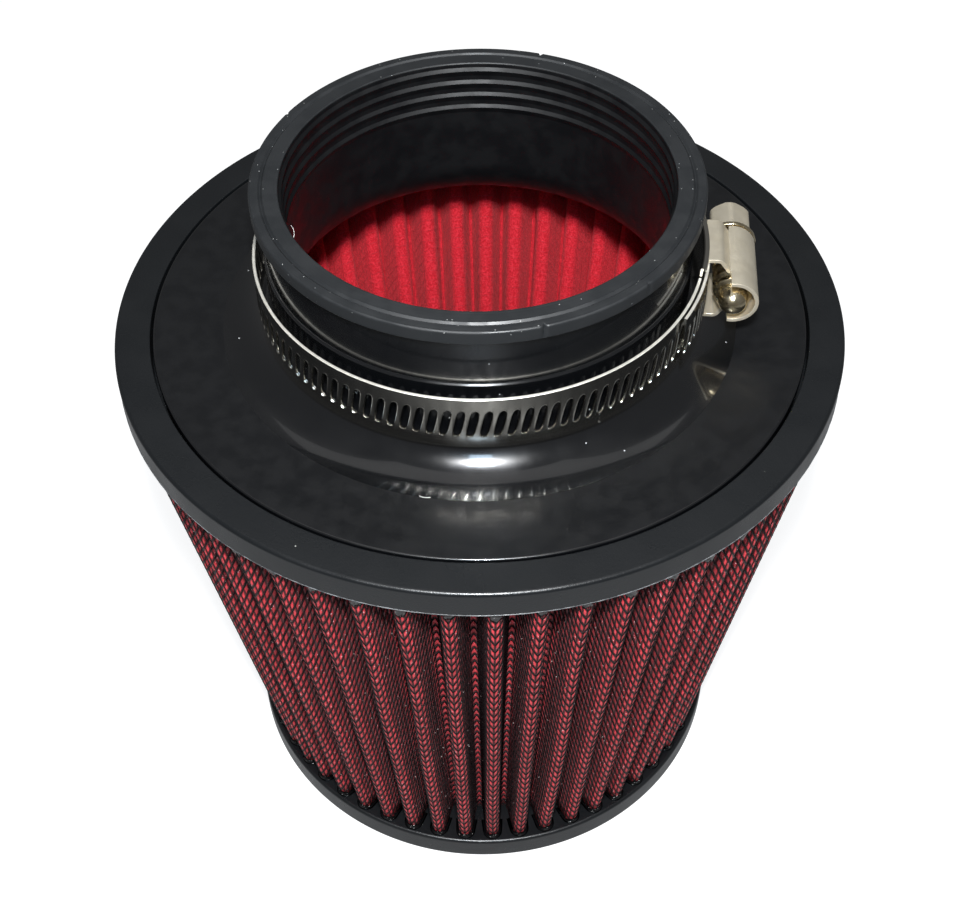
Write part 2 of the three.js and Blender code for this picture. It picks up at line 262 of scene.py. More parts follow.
def object_places(tree):
    """Places in the piece's own frame, in metres."""
    return add_node(tree, "ShaderNodeTexCoord").outputs["Object"]


def grain(tree, size, detail=2.0):
    """Even noise whose grains are about the given size across."""
    return add_node(tree, "ShaderNodeTexNoise", {
        "Vector": object_places(tree), "Scale": 1 / size, "Detail": detail}).outputs["Fac"]


def spread(tree, value, low, high, to_low, to_high):
    """Maps one range of values smoothly to another."""
    return add_node(tree, "ShaderNodeMapRange", {
        "Value": value, "From Min": low, "From Max": high, "To Min": to_low, "To Max": to_high},
        interpolation_type="SMOOTHSTEP").outputs["Result"]


def dust_and_glint_specks(tree, cell, radius, share):
    """1 inside small round specks, one in each cell, of which the share is kept, and 0 elsewhere."""
    cells = add_node(tree, "ShaderNodeTexVoronoi", {"Vector": object_places(tree), "Scale": 1 / cell})
    near = maths(tree, "LESS_THAN", cells.outputs["Distance"], radius / cell)
    kept = maths(tree, "LESS_THAN", cells.outputs["Color"], share)
    return maths(tree, "MULTIPLY", near, kept)


def blend_colours(tree, share, first, second):
    """Mixes two colours, each an sRGB hex value or another node's output."""
    mix = add_node(tree, "ShaderNodeMix", {0: share}, data_type="RGBA")
    for socket, colour in ((6, first), (7, second)):
        if isinstance(colour, str):
            mix.inputs[socket].default_value = tone(colour)
        else:
            tree.links.new(colour, mix.inputs[socket])
    return mix.outputs[2]


def colour_by(tree, share, first, second):
    """Colours the shader between two tones."""
    feed(tree, "Base Color", blend_colours(tree, share, first, second))


def roughen_by(tree, pattern, low, high, smoothest, roughest):
    """Spreads a pattern's values between low and high over a range of roughness."""
    feed(tree, "Roughness", spread(tree, pattern, low, high, smoothest, roughest))


def relief(tree, height, depth):
    """Raises the surface by the height's pattern, whose full swing is the given depth."""
    bump = add_node(tree, "ShaderNodeBump", {"Height": height, "Distance": depth})
    feed(tree, "Normal", bump.outputs["Normal"])


# Black electrocoat over pressed steel: an even semi-gloss film with a trace of orange peel.
electrocoat, tree = new_finish("black_electrocoated_steel", "#0e0f11", {"IOR": 1.5})
roughen_by(tree, grain(tree, 6 * mm), 0.3, 0.7, 0.28, 0.42)
relief(tree, grain(tree, 0.9 * mm), 0.02 * mm)

plate_low, plate_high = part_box("base_plate")
plate_radius = plate_high.x
plate_thickness = 1.2 * mm
rib_inset = 18 * mm
rib_height = plate_high.z - plate_low.z - plate_thickness
rib_radius = plate_radius - rib_inset
rib_half = 1.5 * rib_height
plate_top = plate_low.z + plate_thickness
plate_outline = rounded([
    (0, plate_low.z, 0),
    (rib_radius - rib_half, plate_low.z, 2 * mm),
    (rib_radius, plate_low.z + rib_height, 1.2 * mm),
    (rib_radius + rib_half, plate_low.z, 2 * mm),
    (plate_radius, plate_low.z, 0.3 * mm),
    (plate_radius, plate_top, 0.3 * mm),
    (rib_radius + rib_half, plate_top, 1 * mm),
    (rib_radius, plate_top + rib_height, 2.2 * mm),
    (rib_radius - rib_half, plate_top, 1 * mm),
    (0, plate_top, 0),
])
soften(make_piece("closed_end_plate", *turned(plate_outline), "filter", "black_plate",
                  ["base_plate"], [electrocoat]))


# ---- Closed end ring ----
# Polyurethane cast round the feet of the pleats in an open mould. It is bonded to the plate and
# has a plain round edge.

# Satin cast urethane: nearly black, with a fine even grain from the mould and a little dust.
cast_urethane, tree = new_finish("satin_cast_urethane", "#101214", {"IOR": 1.5})
roughen_by(tree, grain(tree, 9 * mm, 4), 0.3, 0.7, 0.25, 0.35)
colour_by(tree, dust_and_glint_specks(tree, 5 * mm, 0.14 * mm, 0.6), "#101214", "#8c8c88")
relief(tree, grain(tree, 0.35 * mm, 3), 0.03 * mm)

base_low, base_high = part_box("base_end_ring")
ring_round = 0.8 * mm
plate_gap = 0.3 * mm
base_inner = plate_radius - 4.4 * mm
base_outline = rounded([
    (base_high.x, base_low.z, ring_round),
    (base_high.x, base_high.z, ring_round),
    (base_inner, base_high.z, 0.4 * mm),
    (base_inner, plate_top + plate_gap, 0),
    (plate_radius + plate_gap, plate_top + plate_gap, 0),
    (plate_radius + plate_gap, base_low.z, 0.3 * mm),
])
soften(make_piece("closed_end_ring", *turned(base_outline), "filter", "cast_urethane",
                  ["base_end_ring"], [cast_urethane]))


# ---- Pleated gauze ----
# Several layers of oiled red cotton gauze between two wire screens, folded into pleats and joined
# into a ring. Its two ends stand in the cast rings. Outside it bulges between the wires.

ring_low, ring_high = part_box("top_end_ring")
strip_low, strip_high = (corner.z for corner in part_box("pleat_pack"))
pleat_count = 54
first_tip = radians(-88.2)
pleat_depth = 10 * mm
strip_thickness = 1.7 * mm
tip_bend = 1.85 * mm  # outer radius of a tip's bend
valley_bend = 0.45 * mm  # outer radius of a valley's bend
tip_steps = 6
fold_steps = (tip_steps, 2, 3)  # parts of half a tip, a wall and half a valley


def half_pleat(tip_radius, steps):
    """Half a pleat, from a tip's middle on the X axis: points, outward normals, distances run."""
    half_angle = pi / pleat_count
    tip_centre = np.array([tip_radius - tip_bend, 0])
    valley_radius = tip_radius - pleat_depth + strip_thickness + valley_bend
    valley_centre = valley_radius * np.array([cos(half_angle), sin(half_angle)])
    across = valley_centre - tip_centre
    lean = atan2(across[1], across[0]) - acos((tip_bend + valley_bend) / hypot(*across))
    tip_angles = np.linspace(0, lean, steps[0] + 1)
    valley_angles = np.linspace(lean, half_angle, steps[2] + 1)
    tip_spokes = joined(np.cos(tip_angles), np.sin(tip_angles))
    valley_spokes = joined(np.cos(valley_angles), np.sin(valley_angles))
    on_tip = tip_centre + tip_bend * tip_spokes
    in_valley = valley_centre - valley_bend * valley_spokes
    shares = np.linspace(0, 1, steps[1] + 1)[1:-1, None]
    on_wall = on_tip[-1] * (1 - shares) + in_valley[0] * shares
    points = np.concatenate([on_tip, on_wall, in_valley])
    normals = np.concatenate([tip_spokes, np.repeat(tip_spokes[-1:], len(on_wall), axis=0), valley_spokes])
    runs = np.concatenate([[0], np.cumsum(np.hypot(*np.diff(points, axis=0).T))])
    return points, normals, runs


def whole_turn(tip_radius, steps=fold_steps):
    """Every pleat of one turn, starting each pleat in the valley before its tip."""
    points, normals, runs = half_pleat(tip_radius, steps)
    mirror = np.array([1, -1])
    one = [np.concatenate([side[:0:-1] * mirror, side[:-1]]) for side in (points, normals)]
    runs = np.concatenate([-runs[:0:-1], runs[:-1]])
    turns = first_tip + np.arange(pleat_count) * 2 * pi / pleat_count
    spin = np.array([[np.cos(turns), np.sin(turns)], [-np.sin(turns), np.cos(turns)]]).transpose(2, 0, 1)
    return *[(side @ spin).reshape(-1, 2) for side in one], np.tile(runs, pleat_count)


tip_inset_low, tip_inset_high = 1.15 * mm, 0.8 * mm
low_tip_radius = base_high.x - tip_inset_low
high_tip_radius = ring_high.x - tip_inset_high
chance = np.random.default_rng(7)
sway_phase = chance.uniform(0, 2 * pi, (2, pleat_count))
sway_length = chance.uniform(55, 110, (2, pleat_count)) * mm
sway_reach = 0.22 * mm


def strip_places(low_turn, high_turn, column, height, inset):
    """Places on the strip, under its outer face by the inset. Each tip sways along its height."""
    share = ((height - strip_low) / (strip_high - strip_low))[..., None]
    flat = low_turn[0][column] * (1 - share) + high_turn[0][column] * share
    facing = low_turn[1][column] * (1 - share) + high_turn[1][column] * share
    facing = facing / np.linalg.norm(facing, axis=-1, keepdims=True)
    run = abs(low_turn[2][column])
    pleat = column // (len(low_turn[2]) // pleat_count)
    along = (height - strip_low) * 2 * pi
    sway = sum(np.sin(along / sway_length[k][pleat] + sway_phase[k][pleat]) for k in (0, 1)) / 2
    sway = (sway * sway_reach * (1 - run / run.max()))[..., None]
    outward = flat / np.linalg.norm(flat, axis=-1, keepdims=True)
    sideways = joined(-outward[..., 1], outward[..., 0])
    flat = flat + sway * sideways - inset[..., None] * facing
    return np.concatenate([flat, height[..., None]], axis=-1)


weft_pitch = 2.95 * mm  # height of one row of slanting wires
weft_slope = 1.4  # rise of a slanting wire for each millimetre along the fold
warp_pitch = 1.3 * mm

gauze_outer_inset, gauze_inner_inset = 0.3 * mm, 1.4 * mm
gauze_rows = 25
low_turn, high_turn = whole_turn(low_tip_radius), whole_turn(high_tip_radius)
samples = len(low_turn[2])
heights = np.linspace(strip_low, strip_high, gauze_rows)
row_heights = np.concatenate([heights, heights[::-1]])
row_insets = np.repeat([gauze_outer_inset, gauze_inner_inset], gauze_rows)
columns, rows = np.meshgrid(np.arange(samples), row_heights)
insets = np.broadcast_to(row_insets[:, None], rows.shape)
gauze_points = strip_places(low_turn, high_turn, columns, rows, insets)
gauze_faces = grid_faces(2 * gauze_rows, samples, True, True)

# Oiled cotton gauze pressed through a screen: puffed between the wires, with painted shade beside them,
# painted highlights on its threads and painted wet glints. The threads are drawn at twice their 0.15 mm
# spacing so that they show.
oiled_gauze, tree = new_finish("red_oiled_cotton_gauze", "#a81a26", {
    "Sheen Weight": 0.04, "Sheen Roughness": 0.5})
fold_place = add_node(tree, "ShaderNodeSeparateXYZ", {
    0: add_node(tree, "ShaderNodeTexCoord").outputs["UV"]}).outputs
from_tip = maths(tree, "ABSOLUTE", fold_place["X"])
weft_level = maths(tree, "MULTIPLY_ADD", from_tip, -weft_slope, fold_place["Y"])
from_weft = maths(tree, "PINGPONG", maths(tree, "DIVIDE", weft_level, weft_pitch / mm), 0.5)
from_warp = maths(tree, "PINGPONG", maths(tree, "DIVIDE", fold_place["X"], warp_pitch / mm), 0.5)
# 1 between the wires and 0 on them: it raises the relief and also paints the shade beside the wires.
puff_and_painted_shade = maths(tree, "MULTIPLY", spread(tree, from_weft, 0.06, 0.32, 0, 1),
             spread(tree, from_warp, 0.03, 0.3, 0.15, 1))
threads = grain(tree, 0.3 * mm, 3)
patches = grain(tree, 7 * mm, 3)
cloth = blend_colours(tree, spread(tree, patches, 0.35, 0.65, 0, 1), "#c4202c", "#ee3a46")
# Painted highlight: pale pink spots on the threads stand in for light caught by the oiled cotton.
cloth = blend_colours(tree, spread(tree, threads, 0.5, 0.75, 0, 0.45), cloth, "#ff8088")
# Painted shade: the walls of a pleat, deep between the tips, are coloured darker than its tip and its
# valley.
wall_middle = 5.3  # millimetres along the fold from a tip's middle
from_wall = maths(tree, "ABSOLUTE", maths(tree, "SUBTRACT", from_tip, wall_middle))
cloth = blend_colours(tree, spread(tree, from_wall, 1.5, 3.4, 0.6, 0), cloth, "#4c0c14")
# Painted glints: small pale pink specks stand in for wet glints on the oiled cotton.
cloth = blend_colours(tree, dust_and_glint_specks(tree, 0.9 * mm, 0.14 * mm, 0.6), cloth, "#f8ccd0")
# Painted shade: the cotton beside the wires is coloured near black.
colour_by(tree, puff_and_painted_shade, "#22070a", cloth)
roughen_by(tree, threads, 0.4, 0.7, 0.62, 0.3)
relief(tree, maths(tree, "MULTIPLY_ADD", threads, 0.3, puff_and_painted_shade), 0.45 * mm)

# The same gauze seen from its dry clean side: soft, matt and a brighter, plainer red.
clean_gauze, tree = new_finish("red_dry_cotton_gauze", "#cf2230", {
    "Roughness": 0.9, "Sheen Weight": 0.05, "Sheen Roughness": 0.5, "Specular IOR Level": 0.1})
threads = grain(tree, 0.45 * mm, 3)
colour_by(tree, spread(tree, threads, 0.35, 0.7, 0, 1), "#b71a26", "#dd3341")
relief(tree, threads, 0.2 * mm)

gauze = make_piece("pleated_gauze", gauze_points.reshape(-1, 3), gauze_faces, "filter", "red_cotton",
                   ["pleat_pack"], [oiled_gauze, clean_gauze], outward=False)
face_rows = np.repeat(np.arange(2 * gauze_rows), samples)
gauze.data.polygons.foreach_set("material_index", ((face_rows >= gauze_rows) * 1).astype(np.int32))

# The gauze's texture map holds millimetres: along the fold from the nearest tip, and up.
longest_run = half_pleat(low_tip_radius, fold_steps)[2][-1]
run_right = np.roll(low_turn[2], -1)
run_right = np.where(run_right < low_turn[2], longest_run, run_right)
map_left = np.tile(low_turn[2], 2 * gauze_rows)
map_right = np.tile(run_right, 2 * gauze_rows)
map_low = np.repeat(row_heights, samples)
map_high = np.repeat(np.roll(row_heights, -1), samples)
corners = [(map_left, map_low), (map_right, map_low), (map_right, map_high), (map_left, map_high)]
fold_map = np.stack([joined(*corner) for corner in corners], axis=1) / mm
gauze.data.uv_layers.new(name="fold_map").uv.foreach_set("vector", fold_map.ravel())


# ---- Wire screens ----
# Woven wire, dipped in black epoxy and folded together with the gauze: the outer one carries the
# look of the pleats, with its slanting wires meeting in a V on each tip. The inner one is finer.

def wires(paths, normals, radius, wrap):
    """Three-sided tubes along rows of points (wire, step, xyz), one edge of each facing out."""
    along = np.roll(paths, -1, axis=1) - np.roll(paths, 1, axis=1)
    if not wrap:
        along[:, 0] = paths[:, 1] - paths[:, 0]
        along[:, -1] = paths[:, -1] - paths[:, -2]
    aside = np.cross(normals, along)
    aside = aside / np.linalg.norm(aside, axis=-1, keepdims=True)
    edges = [pi / 2 + k * 2 * pi / 3 for k in range(3)]
    sides = [paths + radius * (cos(e) * aside + sin(e) * normals) for e in edges]
    points = np.stack(sides, axis=2)
    count, steps = paths.shape[:2]
    faces = grid_faces(steps, 3, wrap, True)
    return points.reshape(-1, 3), (np.arange(count)[:, None, None] * steps * 3 + faces).reshape(-1, 4)


def drop_outside(points, faces, low, high):
    """Leaves out the faces that reach past the two heights, and the points that only they used."""
    faces = faces[((points[faces][..., 2] > low) & (points[faces][..., 2] < high)).all(axis=1)]
    used, faces = np.unique(faces, return_inverse=True)
    return points[used], faces.reshape(-1, 4)


def facing_of(low_turn, high_turn, column, height):
    """The strip's outward direction, level with the table."""
    share = ((height - strip_low) / (strip_high - strip_low))[..., None]
    flat = low_turn[1][column] * (1 - share) + high_turn[1][column] * share
    flat = flat / np.linalg.norm(flat, axis=-1, keepdims=True)
    return np.concatenate([flat, np.zeros_like(height)[..., None]], axis=-1)


def weft_wires(pitch, radius, inset, steps):
    """Wires that slant down to every tip and up to every valley, one row above the other."""
    low_turn, high_turn = whole_turn(low_tip_radius, steps), whole_turn(high_tip_radius, steps)
    count = len(low_turn[2])
    first = int((strip_low - weft_slope * longest_run) // pitch)
    starts = np.arange(first, int(strip_high // pitch) + 1) * pitch
    column, start = np.meshgrid(np.arange(count), starts)
    height = start + weft_slope * abs(low_turn[2])[column]
    inside = np.clip(height, strip_low, strip_high)
    depth = np.full(height.shape, inset)
    paths = strip_places(low_turn, high_turn, column, inside, depth)
    paths[..., 2] = height
    points, faces = wires(paths, facing_of(low_turn, high_turn, column, inside), radius, True)
    return drop_outside(points, faces, strip_low, strip_high)


def warp_wires(pitch, radius, inset, levels=9):
    """Upright wires beside each other all along the fold."""
    per_pleat = samples // pleat_count
    reach = int(longest_run / pitch)
    wanted = np.arange(-reach, reach + 1) * pitch
    nearest = [int(np.argmin(abs(low_turn[2][:per_pleat] - w))) for w in wanted]
    columns = (np.arange(pleat_count)[:, None] * per_pleat + np.unique(nearest)).ravel()
    height, column = np.meshgrid(np.linspace(strip_low, strip_high, levels), columns)
    paths = strip_places(low_turn, high_turn, column, height, np.full(height.shape, inset))
    return wires(paths, facing_of(low_turn, high_turn, column, height), radius, False)


# Epoxy-dipped wire: black and smooth, so that it sparkles where a wire turns towards the light.
dipped_wire, tree = new_finish("black_epoxy_dipped_wire", "#10080a", {
    "IOR": 1.5, "Specular IOR Level": 0.2})
roughen_by(tree, grain(tree, 0.8 * mm), 0.3, 0.7, 0.12, 0.4)
colour_by(tree, dust_and_glint_specks(tree, 1.2 * mm, 0.12 * mm, 0.6), "#10080a", "#b4a8a4")

# The clean side's wire is finer and its epoxy is tinted red, so that it is lost in the gauze.
tinted_wire, tree = new_finish("red_epoxy_dipped_wire", "#b02532", {"Roughness": 0.6, "IOR": 1.5})
colour_by(tree, grain(tree, 2 * mm), "#a01c28", "#c02c38")

outer_wire, outer_weft_inset, outer_warp_inset = 0.15 * mm, 0.3 * mm, 0.28 * mm
inner_wire, inner_inset = 0.06 * mm, 1.43 * mm
outer_weft = weft_wires(weft_pitch, outer_wire, outer_weft_inset, (5, 2, 1))
outer_warp = warp_wires(warp_pitch, outer_wire / 2, outer_warp_inset)
inner_weft = weft_wires(weft_pitch, inner_wire, inner_inset, (3, 1, 3))
inner_warp = warp_wires(2 * warp_pitch, inner_wire, inner_inset, 5)
for name, tubes, replaced, finish in (
        ("outer_screen_weft", outer_weft, ["outer_screen"], dipped_wire),
        ("outer_screen_warp", outer_warp, [], dipped_wire),
        ("inner_screen_weft", inner_weft, ["inner_screen"], tinted_wire),
        ("inner_screen_warp", inner_warp, [], tinted_wire)):
    make_piece(name, *tubes, "filter", "wire_screen", replaced, [finish], outward=False)


# ---- Seam strip ----
# The two ends of the folded strip are glued in one valley with a thin bead of the same urethane
# as the rings. It shows only as a dark line between two pleats.
seam = frame["nodes"]["seam_strip"]
seam.data.materials.clear()
seam.data.materials.append(cast_urethane)


# ---- Neck-end ring ----
# Polyurethane cast round the heads of the pleats and under the rim of the moulded neck. Its top
# face and its upright wall are plain, and a thin line of mould flash runs round its lower edge.

neck_low, neck_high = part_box("neck_flange")
disc_radius = 68.2 * mm
ring_gap = 0.5 * mm
ledge_inner = 63.2 * mm
ledge_top = neck_low.z - 0.3 * mm
ring_outline = rounded([
    (ring_high.x, ring_low.z, 0.35 * mm),
    (ring_high.x, ring_high.z, ring_round),
    (disc_radius + ring_gap, ring_high.z, 0.25 * mm),
    (disc_radius + ring_gap, ledge_top, 0.3 * mm),
    (ledge_inner, ledge_top, 0.3 * mm),
    (ledge_inner, ring_low.z, 0.3 * mm),
])
soften(make_piece("neck_end_ring", *turned(ring_outline, 480), "filter", "cast_urethane",
                  ["top_end_ring"], [cast_urethane]))

# Trimmed urethane flash: thin, rubbed and paler than the cast face above it.
flash_edge, tree = new_finish("trimmed_urethane_flash", "#5a5c5e", {"IOR": 1.5})
rubbed = spread(tree, grain(tree, 2.5 * mm, 4), 0.4, 0.6, 0, 1)
colour_by(tree, rubbed, "#46484a", "#747678")
roughen_by(tree, grain(tree, 1 * mm), 0.3, 0.7, 0.25, 0.6)

flash_turns, flash_sides = 720, 8
flash_angle = np.linspace(0, 2 * pi, flash_turns, endpoint=False)
flash_wave = sum(np.sin(flash_angle * n + chance.uniform(0, 2 * pi)) for n in (23, 61, 97, 151, 203)) / 5
flash_spin = np.linspace(0, 2 * pi, flash_sides, endpoint=False)
flash_size = (0.14 + 0.04 * flash_wave[:, None]) * mm
flash_radius = ring_high.x - 0.08 * mm + flash_size * np.cos(flash_spin)
flash_height = ring_low.z + 0.1 * mm + 0.04 * mm * flash_wave[:, None] + flash_size * np.sin(flash_spin)
flash_points = polar(flash_radius, flash_angle[:, None], flash_height).reshape(-1, 3)
make_piece("mould_flash", flash_points, grid_faces(flash_turns, flash_sides, True, True), "filter",
           "cast_urethane", [], [flash_edge])


# ---- Potting at the ends of the pleats ----
# Liquid urethane wets its way along the screen before it sets, so each tip enters the rings
# through a small glossy cup with a ragged edge.

# Urethane that set against air: the same black, but glossy as lacquer.
wet_urethane, tree = new_finish("glossy_set_urethane", "#0a0a0b", {
    "IOR": 1.5, "Specular IOR Level": 0.2})
roughen_by(tree, grain(tree, 1.2 * mm), 0.35, 0.7, 0.08, 0.25)
colour_by(tree, dust_and_glint_specks(tree, 1.1 * mm, 0.13 * mm, 0.5), "#0a0a0b", "#c4c2be")
relief(tree, grain(tree, 0.7 * mm, 3), 0.05 * mm)


def potting_cups(name, start, reach, bulge):
    """A cup round every tip, from a ring's face along the strip. The reach is negative downwards."""
    per_pleat = samples // pleat_count
    side = tip_steps + 1
    beside_tip = np.arange(-side, side + 1)
    width = len(beside_tip)
    levels = np.linspace(0, 1, 5)
    rows = 2 * len(levels)
    grid = grid_faces(rows, width, True, False)
    ends = [[row * width + end for row in range(rows)] for end in (0, width - 1)]
    caps = [[a[i], a[i + 1], a[-2 - i], a[-1 - i]] for a in ends for i in range(len(levels) - 1)]
    points, faces = [], []
    for pleat in range(pleat_count):
        fall = 1 - (beside_tip / side) ** 2
        ragged = chance.uniform(0.75, 1.25, width)
        length = reach * (0.25 + 0.75 * fall) * ragged * chance.uniform(0.8, 1.2)
        level, column = np.meshgrid(levels, pleat * per_pleat + per_pleat // 2 + beside_tip, indexing="ij")
        height = np.clip(start + level * length, strip_low, strip_high)
        front = bulge * (1 - level) ** 1.5 + cup_film
        back = np.full(level.shape, cup_root)
        points += [strip_places(low_turn, high_turn, column, height, -front),
                   strip_places(low_turn, high_turn, column, height, back)[::-1]]
        faces.append(np.concatenate([grid, caps]) + pleat * rows * width)
    make_piece(name, np.concatenate(points).reshape(-1, 3), np.concatenate(faces), "filter",
               "cast_urethane", [], [wet_urethane])


cup_film, cup_root = 0.06 * mm, 0.35 * mm  # a cup's thinnest skin in front of the strip, and its back
cup_sink = 0.2 * mm
potting_cups("neck_end_potting", ring_low.z + cup_sink, -3.6 * mm, 0.6 * mm)
potting_cups("closed_end_potting", base_high.z - cup_sink, 1.5 * mm, 0.4 * mm)


# ---- Moulded neck ----
# One moulding in black EPDM rubber: a disc set in the cast ring, a soft flare, the neck that is
# pushed over the intake pipe, its lip, and four ridges that grip the pipe.

disc_top = ring_high.z
dish_depth = 0.8 * mm
neck_radius, upper_neck_radius, lip_radius = 43.2 * mm, 42.8 * mm, 44.6 * mm
bore_radius = 38.8 * mm
dish_z = disc_top - dish_depth
fillet_reach, fillet_rise = 10.5 * mm, 7.6 * mm
neck_corner = [(neck_radius + fillet_reach * (1 - cos(a)), dish_z + fillet_rise * (1 - sin(a)), 0)
               for a in np.linspace(pi / 2, 0, 21)]
step_height = disc_top + 19 * mm
neck_top = neck_high.z
lip_under = neck_top - 3 * mm
lip_groove = lip_radius - 2.3 * mm
dish_foot, dish_rim, rim_fall = neck_radius + fillet_reach, disc_radius - 3 * mm, 0.15 * mm
dish = [(r, dish_z + (dish_depth - rim_fall) * ((r - dish_foot) / (dish_rim - dish_foot)) ** 2, 0)
        for r in np.linspace(dish_rim, dish_foot, 13)[:-1]]
flare_radius, flare_z = 12.4 * mm, disc_top + 7.2 * mm
flare_end = 180 + np.degrees(np.arcsin((flare_z - neck_low.z) / flare_radius))
ridge_count, ridge_pitch, ridge_height = 4, 3.1 * mm, 0.5 * mm
ridge_crests = [neck_top - 1.8 * mm - i * ridge_pitch for i in range(ridge_count)]
ridges = [corner for crest in ridge_crests for corner in (
    (bore_radius, crest + 0.75 * mm, 0.25 * mm),
    (bore_radius - ridge_height, crest, 0.15 * mm),
    (bore_radius, crest - ridge_pitch / 2 + 0.2 * mm, 0.4 * mm))]
neck_outline = rounded([
    (disc_radius, neck_low.z, 0.2 * mm),
    (disc_radius, disc_top, 0.45 * mm),
    *dish,
    *neck_corner,
    (neck_radius, step_height, 0.15 * mm),
    (upper_neck_radius, step_height + 0.35 * mm, 0.3 * mm),
    (upper_neck_radius, lip_under, 0.35 * mm),
    (lip_radius, lip_under, 0.35 * mm),
    (lip_radius, neck_top, 0.5 * mm),
    (lip_groove + 0.45 * mm, neck_top, 0.2 * mm),
    (lip_groove, neck_top - 0.45 * mm, 0.12 * mm),
    (lip_groove - 0.45 * mm, neck_top, 0.2 * mm),
    (bore_radius, neck_top, 0.4 * mm),
    *ridges,
    *arc_points(bore_radius + flare_radius, flare_z, flare_radius, 180, flare_end, 14),
])
neck_points, neck_faces = turned(neck_outline, 600)

# Small mould nicks, cut into the outer edge of the lip.
nick_angles = [radians(a) for a in (-75, -46, -18.5, 72, 151)]
nick_half, nick_depth = 0.35 * mm, 0.8 * mm
spoke = np.hypot(neck_points[:, 0], neck_points[:, 1])
around = np.arctan2(neck_points[:, 1], neck_points[:, 0])
on_lip = (spoke > lip_radius - 0.9 * mm) & (neck_points[:, 2] > neck_top - 1.6 * mm)
for angle in nick_angles:
    beside = abs((around - angle + pi) % (2 * pi) - pi) * lip_radius
    cut = np.clip(1 - beside / nick_half, 0, 1) * on_lip * nick_depth
    neck_points[:, :2] *= (1 - cut / spoke)[:, None]


def turning_marks(tree, size, detail):
    """Noise in rings round the Z axis, as a lathe leaves it in a mould."""
    from_axis = add_node(tree, "ShaderNodeVectorMath", {
        0: object_places(tree), 1: (1, 1, 0)}, operation="MULTIPLY")
    from_axis = add_node(tree, "ShaderNodeVectorMath", {0: from_axis.outputs[0]}, operation="LENGTH")
    return add_node(tree, "ShaderNodeTexNoise", {
        "W": from_axis.outputs["Value"], "Scale": 1 / size, "Detail": detail},
        noise_dimensions="1D").outputs["Fac"]


# Gloss rubber from a polished mould: a mirror skin over the faint turning marks that the mould
# passed on, with smudges and some dust.
gloss_rubber, tree = new_finish("gloss_moulded_epdm", "#08090b", {
    "IOR": 1.5, "Coat Weight": 0.75, "Coat Roughness": 0.05, "Coat IOR": 1.5})
colour_by(tree, dust_and_glint_specks(tree, 4 * mm, 0.15 * mm, 0.7), "#08090b", "#b0b2b4")
roughen_by(tree, grain(tree, 14 * mm, 4), 0.35, 0.65, 0.17, 0.27)
relief(tree, turning_marks(tree, 0.6 * mm, 3), 0.004 * mm)

# Matt rubber of the lip: trimmed and rubbed, dark grey, with pale specks and fine turned lines.
matt_rubber, tree = new_finish("matt_trimmed_epdm", "#1c1e20", {"IOR": 1.5})
colour_by(tree, dust_and_glint_specks(tree, 1.3 * mm, 0.09 * mm, 0.5), "#1c1e20", "#a8a9a8")
roughen_by(tree, grain(tree, 5 * mm, 4), 0.35, 0.65, 0.38, 0.58)
relief(tree, turning_marks(tree, 0.3 * mm, 2), 0.05 * mm)

# Satin rubber of the bore: dark and even, from a core that was only blasted.
satin_rubber, tree = new_finish("satin_bore_epdm", "#0a0b0d", {"IOR": 1.4})
roughen_by(tree, grain(tree, 4 * mm, 3), 0.35, 0.65, 0.42, 0.55)
relief(tree, grain(tree, 0.4 * mm), 0.01 * mm)

neck = make_piece("moulded_neck", neck_points, neck_faces, "filter", "moulded_rubber",
                  ["neck_flange"], [gloss_rubber, matt_rubber, satin_rubber])
for face in neck.data.polygons:
    at_lip = face.center.z > lip_under - 0.2 * mm and face.center.xy.length > bore_radius + 0.1 * mm
    faces_bore = face.normal.xy.dot(face.center.xy) < 0
    face.material_index = 1 if at_lip else 2 if faces_bore else 0
soften(neck, 60)


# ---- Hose clamp: band ----
# A stainless strip with slanted slots punched through it for the worm screw, bent into a loop
# that hangs loose round the neck. The punch leaves a small burr round each slot.

screw_joint = next(j for j in frame["record"]["behaviour"]["joints"] if j["name"] == "screw_turn")
screw_x, screw_y, clamp_z = screw_joint["pos_m"]
clamp_turn = atan2(screw_y, screw_x)
screw_centre = hypot(screw_x, screw_y)
slot_pitch = 2.54 * mm
band_low, band_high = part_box("clamp_band")
band_half = (band_high.z - band_low.z) / 2
band_inner = neck_radius + 1.8 * mm
band_thickness = 0.6 * mm
slot_half_width, slot_half_height, slot_lean = 0.7 * mm, 3.35 * mm, 0.18
band_edge = 0.14 * mm
burr = 0.09 * mm
slot_squareness = 3.2  # 2 would make each slot an ellipse


